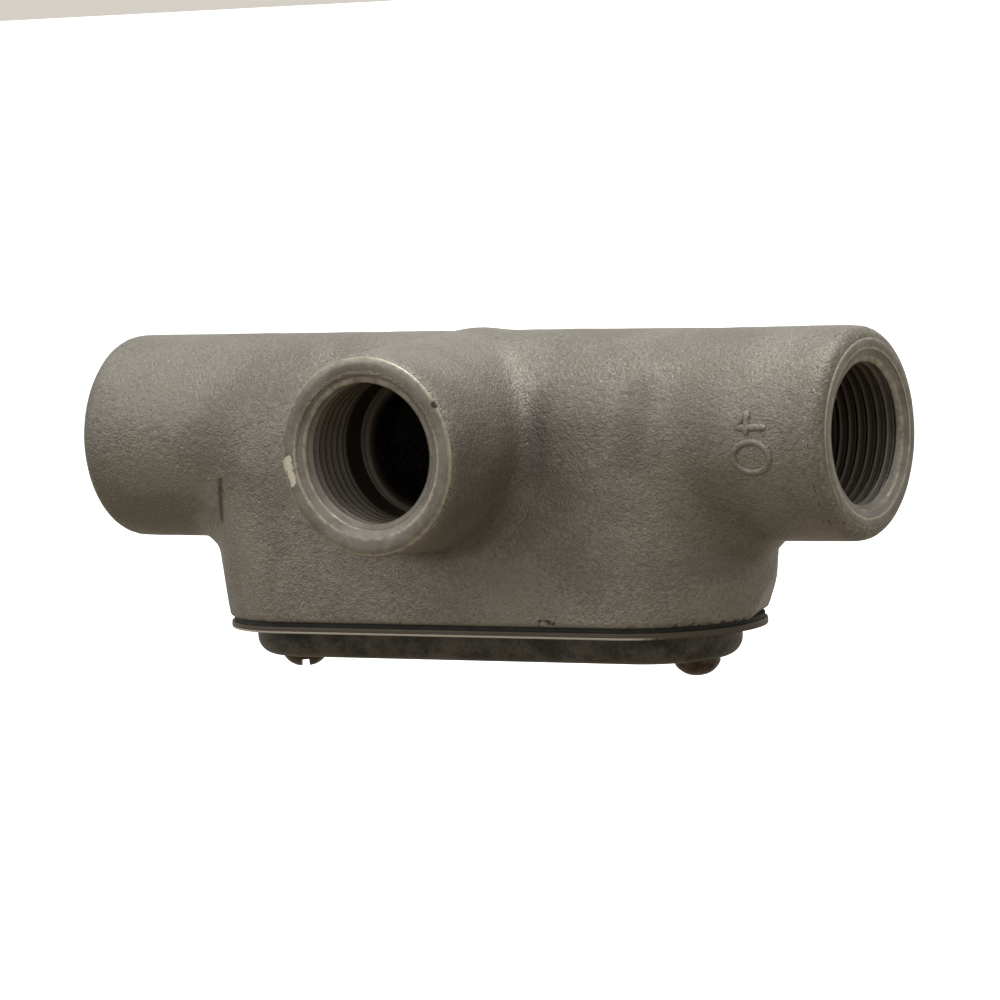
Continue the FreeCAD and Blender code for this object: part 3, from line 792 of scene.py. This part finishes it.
def lacquered_iron():
    """Sand-cast iron under thin aluminium lacquer, worn and rusty where it is handled."""
    material, tree, shader, place = new_material("lacquered_cast_iron")
    mottle = mottled(tree, place, 55.0, 1700.0, 1.1, (0.135, 0.122, 0.100), (0.190, 0.177, 0.149))
    worn = ragged(tree, place, attribute(tree, "wear"), 900.0, 0.9, 0.1)
    colour = mix_colour(tree, worn, mottle["Colour"], (0.26, 0.235, 0.185, 1))
    rust = ragged(tree, place, attribute(tree, "rust"), 1100.0, 1.0, 0.1)
    colour = mix_colour(tree, rust, colour, RUST_BROWN)
    # Painted shade: soft dark patches on the front wall beside the branch
    wall_shade = math_node(tree, "MULTIPLY", attribute(tree, "wall_shade"), 0.5)
    colour = mix_colour(tree, wall_shade, colour, (0.085, 0.078, 0.072, 1))
    chip = ragged(tree, place, attribute(tree, "chip"), 700.0, 0.7, 0.08)
    colour = mix_colour(tree, chip, colour, (0.60, 0.57, 0.47, 1))
    # Painted shade in the skin's hollows and along the crease at the left hub's root
    colour = mix_colour(tree, attribute(tree, "painted_crease_shade"), colour, (0.040, 0.035, 0.028, 1))
    # Near-black inside the chamber and bores: bare iron, darkened further as painted shade
    colour = mix_colour(tree, attribute(tree, "inside"), colour, (0.022, 0.017, 0.012, 1))
    link_in(tree, colour, shader.inputs["Base Color"])
    shader.inputs["Metallic"].default_value = 0.45
    rough = math_node(tree, "MULTIPLY", mottle["Cloud"], -0.06)
    rough = math_node(tree, "ADD", rough, 0.46)
    rough = math_node(tree, "ADD", rough, math_node(tree, "MULTIPLY", rust, 0.25))
    link_in(tree, rough, shader.inputs["Roughness"])
    add_skin(tree, shader, place, 2600.0, 0.2, 0.00021, 1.0)
    return material


def machined_iron():
    """Faced and tapped iron, dull, with rust specks, worn edges, and dirt with painted shade down in the
    thread.
    """
    material, tree, shader, place = new_material("machined_iron")
    mottle = mottled(tree, place, 200.0, 2400.0, 0.5, (0.135, 0.124, 0.106), (0.200, 0.186, 0.160))
    worn = ragged(tree, place, attribute(tree, "wear"), 700.0, 0.6, 0.15)
    colour = mix_colour(tree, worn, mottle["Colour"], (0.34, 0.31, 0.245, 1))
    chip = ragged(tree, place, attribute(tree, "chip"), 700.0, 0.7, 0.08)
    colour = mix_colour(tree, chip, colour, (0.52, 0.49, 0.40, 1))
    amount = math_node(tree, "MAXIMUM", attribute(tree, "rust"), 0.25)
    rust = ragged(tree, place, amount, 600.0, 1.0, 0.12)
    colour = mix_colour(tree, rust, colour, RUST_BROWN)
    # Darker down the thread: dirt with painted shade
    colour = mix_colour(tree, attribute(tree, "dirt_and_depth_shade"), colour, (0.050, 0.038, 0.026, 1))
    link_in(tree, colour, shader.inputs["Base Color"])
    shader.inputs["Metallic"].default_value = 0.5
    shader.inputs["Roughness"].default_value = 0.42
    add_skin(tree, shader, place, 2600.0, 0.2, 0.00005, 0.6)
    return material


def dark_sheet():
    """Stamped sheet under dull dark lacquer, with a painted highlight along the flange's edge."""
    material, tree, shader, place = new_material("dark_lacquered_sheet")
    mottle = mottled(tree, place, 190.0, 1500.0, 0.5, (0.012, 0.011, 0.008), (0.068, 0.062, 0.048))
    brown = math_node(tree, "MULTIPLY", attribute(tree, "edge_band"), 0.9)
    colour = mix_colour(tree, brown, mottle["Colour"], (0.060, 0.046, 0.035, 1))
    # Painted highlight along the flange's lower corner
    highlight_mask = ragged(tree, place, attribute(tree, "painted_highlight_line"), 600.0, 0.5, 0.15)
    colour = mix_colour(tree, highlight_mask, colour, (0.42, 0.40, 0.35, 1))
    link_in(tree, colour, shader.inputs["Base Color"])
    shader.inputs["Metallic"].default_value = 0.35
    shader.inputs["Roughness"].default_value = 0.5
    add_skin(tree, shader, place, 1300.0, 0.1, 0.00005, 0.5)
    return material


def plain_skin(name, tones, metallic, roughness, grain, distance):
    """A mottled skin with nothing painted on it; tones are what mottled takes after the place."""
    material, tree, shader, place = new_material(name)
    link_in(tree, mottled(tree, place, *tones)["Colour"], shader.inputs["Base Color"])
    shader.inputs["Metallic"].default_value = metallic
    shader.inputs["Roughness"].default_value = roughness
    add_skin(tree, shader, place, grain, 0.2, distance, 0.5)
    return material


# ---- Painted masks ------------------------------------------------------------------------------


def paint(piece, name, values):
    """Keeps one value a point on the mesh, for its material to read."""
    layer = piece.data.attributes.new(name, "FLOAT", "POINT")
    layer.data.foreach_set("value", np.asarray(values, dtype=np.float32))


def near_line(points, axes, start, end, width):
    """1 along a line drawn in two axes (in millimetres), fading to 0 at the given distance from it."""
    flat = points[:, axes] / MM
    start, end = np.array(start), np.array(end)
    along = np.clip((flat - start) @ (end - start) / max((end - start) @ (end - start), 1e-6), 0, 1)
    apart = np.linalg.norm(flat - start - along[:, None] * (end - start), axis=1)
    return 1 - smoothstep(0.25 * width, width, apart)


# Paint chips and rust specks about the branch's mouth: the line's ends in X and Z, and its width
BRANCH_CHIPS = [
    ((-17.2, -0.8), (-16.9, -5.0), 0.8),
    ((-15.1, -0.2), (-14.6, -4.4), 1.0),
    ((-16.9, 4.2), (-16.8, 4.6), 0.5),
]
BRANCH_RUST = [((14.2, 8.6), (14.4, 8.9), 1.0), ((12.2, -10.6), (12.5, -10.4), 0.9)]
# Painted shade along the crease at the left hub's root, two soft patches of painted shade on the front wall,
# a rust mark above the rim
CREASE_SHADE_LINE = ((-45.2, -6.4), (-46.7, -13.6), 0.8)
WALL_SHADE_PATCHES = [((21.6, 7.5), (20.8, -5.0), 3.4), ((39.8, 7.5), (39.2, -2.0), 4.6)]
RIM_MARK = ((19.8, -30.2), (22.6, -30.6), 0.9)
# Rust spot on the right hub's face, in Y and Z
FACE_SPOT = ((36.6, -16.3), (36.8, -16.1), 0.9)

# How strongly corners wear, and how strongly corners, hub bands, rim and ground flat rust
CORNER_WEAR = 0.40
CORNER_RUST = 0.36
BAND_RUST = {"right": 0.47, "left": 0.36, "branch": 0.36}
RIM_RUST = 0.33
FLAT_RUST = 0.46
RIM_MARK_RUST = 0.62
# How strongly a hub's outer edge, mouth and first turn wear, how dark the thread gets with dirt and painted
# shade, and how rusty the hub gets
OUTER_EDGE_WEAR = 0.58
MOUTH_EDGE_WEAR = 0.62
FIRST_TURN_WEAR = 0.50
THREAD_DIRT_AND_SHADE = 0.92
SPOT_RUST = 0.8
# How strongly the painted highlight shows along the flange's lower corner
LINE_HIGHLIGHT = 0.72

# The cored chamber: its radius, half the length of its straight sides, and the branch's core
CORE_RADIUS = 14.8 * MM
CORE_REACH = 34.6 * MM
BRANCH_CORE_RADIUS = 14.4 * MM


def branch_spots(points, spots):
    """The strongest of several spots on the branch's front face and its edges."""
    front = points[:, 1] < 4 * MM
    return np.max([near_line(points, (0, 2), *spot) for spot in spots], axis=0) * front


def paint_casting(body):
    """Wear and rust on the hubs' corners and low on the walls, painted shade in the hollows and on the front
    wall, and the near-black chamber: bare iron darkened further as painted shade.
    """
    points = mesh_points(body.data)
    # Painted shade darkens the skin where it is hollow over a millimetre or two
    sag = ((relax(points, mesh_edges(body.data), 8, 0.5) - points) * mesh_normals(body.data)).sum(axis=1)
    front = points[:, 1] < RUN_Y
    # Painted shade along the crease at the left hub's root
    crease_line_shade = near_line(points, (0, 2), *CREASE_SHADE_LINE) * front
    paint(body, "painted_crease_shade", np.maximum(smoothstep(0.045 * MM, 0.16 * MM, sag), crease_line_shade))
    # Soft patches of painted shade on the front wall
    wall_shade = np.max([near_line(points, (0, 2), *spot) for spot in WALL_SHADE_PATCHES], axis=0) * front
    paint(body, "wall_shade", wall_shade)
    paint(body, "chip", branch_spots(points, BRANCH_CHIPS))
    wear = np.zeros(len(points))
    rust = np.zeros(len(points))
    for hub in HUBS:
        depth, reach, _ = hub_reach(points, hub)
        outer = HUBS[hub][2]
        near_mouth = 1 - smoothstep(0.6 * MM, 2.4 * MM, depth)
        corner = near_mouth * smoothstep(outer - 3.4 * MM, outer - 1.2 * MM, reach)
        wear = np.maximum(wear, corner * CORNER_WEAR)
        rust = np.maximum(rust, corner * CORNER_RUST)
        band = (1 - smoothstep(0.0, 0.9 * MM, np.abs(depth - 2.4 * MM))) * (reach > outer - 1.6 * MM)
        rust = np.maximum(rust, band * BAND_RUST[hub])
    low = 1 - smoothstep(0.3 * MM, 2.0 * MM, points[:, 2] - RIM_Z)
    rust = np.maximum(rust, low * RIM_RUST)
    rust = np.maximum(rust, low * (points[:, 0] > 42 * MM) * FLAT_RUST)
    rust = np.maximum(rust, near_line(points, (0, 2), *RIM_MARK) * front * RIM_MARK_RUST)
    paint(body, "wear", wear)
    paint(body, "rust", rust)
    # The cored chamber and bores are painted near-black: bare iron with painted shade
    across = points[:, 1] - RUN_Y
    from_axis = np.hypot(across, points[:, 2])
    end = np.maximum(np.abs(points[:, 0]) - CORE_REACH, 0)
    below_axis = (points[:, 2] < 0) & (points[:, 2] > RIM_Z + 0.3 * MM)
    in_trough = (np.hypot(end, across) < CORE_RADIUS) & below_axis
    in_barrel = (from_axis < CORE_RADIUS) & (np.abs(points[:, 0]) < RUN_END - 2 * MM)
    from_branch_axis = np.hypot(points[:, 0], points[:, 2])
    in_branch = (from_branch_axis < BRANCH_CORE_RADIUS) & (points[:, 1] > 2 * MM) & (points[:, 1] < RUN_Y)
    paint(body, "inside", in_trough | in_barrel | in_branch)


def paint_sleeve(sleeve, hub):
    """Worn edges at the hub's face, and dirt with painted shade that deepens down the thread."""
    points = mesh_points(sleeve.data)
    depth, reach, _ = hub_reach(points, hub)
    on_face = depth < 0.5 * MM
    outer_edge = 1 - smoothstep(0.15 * MM, 0.9 * MM, reach.max() - reach)
    mouth_edge = 1 - smoothstep(0.1 * MM, 0.7 * MM, np.abs(reach - MOUTH_RADIUS))
    first_turn = 1 - smoothstep(0.6 * MM, 2.2 * MM, depth)
    face_wear = np.maximum(outer_edge * OUTER_EDGE_WEAR, mouth_edge * MOUTH_EDGE_WEAR)
    paint(sleeve, "wear", np.where(on_face, face_wear, first_turn * FIRST_TURN_WEAR))
    paint(sleeve, "dirt_and_depth_shade", smoothstep(0.8 * MM, 5.5 * MM, depth) * THREAD_DIRT_AND_SHADE)
    paint(sleeve, "chip", branch_spots(points, BRANCH_CHIPS))
    face_spot = near_line(points, (1, 2), *FACE_SPOT) * (hub == "right")
    paint(sleeve, "rust", np.maximum(branch_spots(points, BRANCH_RUST), face_spot) * SPOT_RUST)


def paint_cover(cover):
    """The flange's edge band and the painted highlight line along its lower corner."""
    points = mesh_points(cover.data)
    loop_radius = COVER_WIDTH / 2
    straight = (COVER_LENGTH - COVER_WIDTH) / 2
    x = np.maximum(np.abs(points[:, 0] - COVER_X) - straight, 0)
    inset = loop_radius - np.hypot(x, points[:, 1] - RUN_Y)
    flange_bottom = COVER_HIGH[2] - SHEET
    band = (inset < 0.35 * MM).astype(float)
    # A painted highlight along the flange's lower corner
    line = (inset < 0.30 * MM) * (1 - smoothstep(*HIGHLIGHT_LINE_HEIGHTS, points[:, 2] - flange_bottom))
    line = line * (1 - smoothstep(36 * MM, 48 * MM, points[:, 0]))
    paint(cover, "edge_band", band)
    paint(cover, "painted_highlight_line", line * LINE_HIGHLIGHT)


# ---- Assembly -----------------------------------------------------------------------------------


def dress(piece, material):
    """Gives a piece one material."""
    piece.data.materials.clear()
    piece.data.materials.append(material)


IRON = lacquered_iron()
MACHINED = machined_iron()
SHEET_LACQUER = dark_sheet()
SCREW_STEEL = plain_skin(
    "bronzed_screw_steel",
    (500.0, 2600.0, 0.3, (0.030, 0.019, 0.012), (0.085, 0.058, 0.038)),
    metallic=0.75,
    roughness=0.34,
    grain=2500.0,
    distance=0.00003,
)
GASKET = plain_skin(
    "black_gasket_sheet",
    (300.0, 2000.0, 0.3, (0.006, 0.006, 0.006), (0.018, 0.017, 0.015)),
    metallic=0.0,
    roughness=0.75,
    grain=1800.0,
    distance=0.00005,
)
PLATED = plain_skin(
    "dull_plated_steel",
    (350.0, 2200.0, 0.25, (0.30, 0.29, 0.27), (0.46, 0.45, 0.42)),
    metallic=0.85,
    roughness=0.4,
    grain=2200.0,
    distance=0.00003,
)

cast_body = make_cast_body()
paint_casting(cast_body)
dress(cast_body, IRON)
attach(cast_body, "body")
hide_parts("casting")

for hub in HUBS:
    sleeve = make_hub_sleeve(hub)
    paint_sleeve(sleeve, hub)
    dress(sleeve, MACHINED)
    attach(sleeve, "body")

cast_mark = make_cast_mark()
dress(cast_mark, IRON)
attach(cast_mark, "body")

stamped_cover = make_stamped_cover()
paint_cover(stamped_cover)
dress(stamped_cover, SHEET_LACQUER)
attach(stamped_cover, "cover")
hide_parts("cover")

for (side, slot_angle), x in zip(SLOT_ANGLES.items(), SCREW_XS):
    screw = make_screw(side, x, slot_angle)
    dress(screw, SCREW_STEEL)
    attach(screw, f"screw_{side}")
    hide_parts(f"cover_screw_{side}")

for name, material in (("gasket", GASKET), ("wedge_nut_left", PLATED), ("wedge_nut_right", PLATED)):
    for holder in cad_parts[name].material_slots:
        holder.material = material


# ---- Studio -------------------------------------------------------------------------------------

# Degrees to the right of straight ahead, above level, and of roll
CAMERA_ANGLES = (31.851, 5.384, -3.018)
CAMERA_AIM = Vector((1.684 * MM, RUN_Y, -11.567 * MM))
CAMERA_DISTANCE = 0.9411
CAMERA_LENS = 193.97


def make_camera():
    """A long lens a little above the body, from its front right."""
    azimuth, elevation, roll = (math.radians(angle) for angle in CAMERA_ANGLES)
    back = Vector(
        (
            math.sin(azimuth) * math.cos(elevation),
            -math.cos(azimuth) * math.cos(elevation),
            math.sin(elevation),
        )
    )
    right = (-back).cross(Vector((0, 0, 1))).normalized()
    up = right.cross(-back)
    turned_right = right * math.cos(roll) + up * math.sin(roll)
    turned_up = up * math.cos(roll) - right * math.sin(roll)
    lens = bpy.data.cameras.new("studio_camera")
    lens.sensor_width = 36.0
    lens.lens = CAMERA_LENS
    lens.clip_start = 0.05
    lens.clip_end = 1000.0
    camera = bpy.data.objects.new("studio_camera", lens)
    bpy.context.scene.collection.objects.link(camera)
    pose = Matrix((turned_right, turned_up, back)).transposed().to_4x4()
    pose.translation = CAMERA_AIM + back * CAMERA_DISTANCE
    camera.matrix_world = pose
    bpy.context.scene.camera = camera


def area_light(name, place, aim, size, power):
    """A soft rectangular light that faces its aim."""
    lamp = bpy.data.lights.new(name, "AREA")
    lamp.shape = "RECTANGLE"
    lamp.size, lamp.size_y = size
    lamp.energy = power
    light = bpy.data.objects.new(name, lamp)
    bpy.context.scene.collection.objects.link(light)
    light.location = place
    light.rotation_euler = (Vector(aim) - Vector(place)).to_track_quat("-Z", "Y").to_euler()


def make_room():
    """An even pale room: bright overhead, dimmer and warmer towards the floor."""
    world = bpy.data.worlds.new("pale_room")
    world.use_nodes = True
    tree = world.node_tree
    direction = tree.nodes.new("ShaderNodeTexCoord").outputs["Generated"]
    split = tree.nodes.new("ShaderNodeSeparateXYZ")
    tree.links.new(direction, split.inputs[0])
    height = ramp_node(tree, split.outputs["Z"], -0.9, 0.9)
    colour = mix_colour(tree, height, (0.40, 0.335, 0.25, 1), (1.0, 0.985, 0.94, 1))
    background = tree.nodes["Background"]
    tree.links.new(colour, background.inputs["Color"])
    background.inputs["Strength"].default_value = 0.95
    bpy.context.scene.world = world


def make_studio():
    """A wide pale floor that stays out of the lighting, and soft lights from above."""
    reach = 300.0
    level = -0.16
    corners = [(-reach, -reach, level), (reach, -reach, level), (reach, reach, level), (-reach, reach, level)]
    floor = add_mesh("studio_floor", corners, [(0, 1, 2, 3)], smooth=False)
    floor.visible_diffuse = False
    floor.visible_glossy = False
    material, _, shader, _ = new_material("pale_floor")
    shader.inputs["Base Color"].default_value = (0.9, 0.9, 0.9, 1)
    shader.inputs["Roughness"].default_value = 0.9
    shader.inputs["Emission Color"].default_value = (1, 1, 1, 1)
    shader.inputs["Emission Strength"].default_value = 0.8
    dress(floor, material)
    centre = (0, RUN_Y, 0)
    area_light("overhead", (0.05, 0.02, 0.62), centre, (0.55, 0.35), 4.2)
    area_light("front_left", (-0.55, -0.65, 0.45), centre, (0.4, 0.4), 1.9)


make_camera()
make_room()
make_studio()
bpy.context.scene.view_settings.view_transform = "Standard"
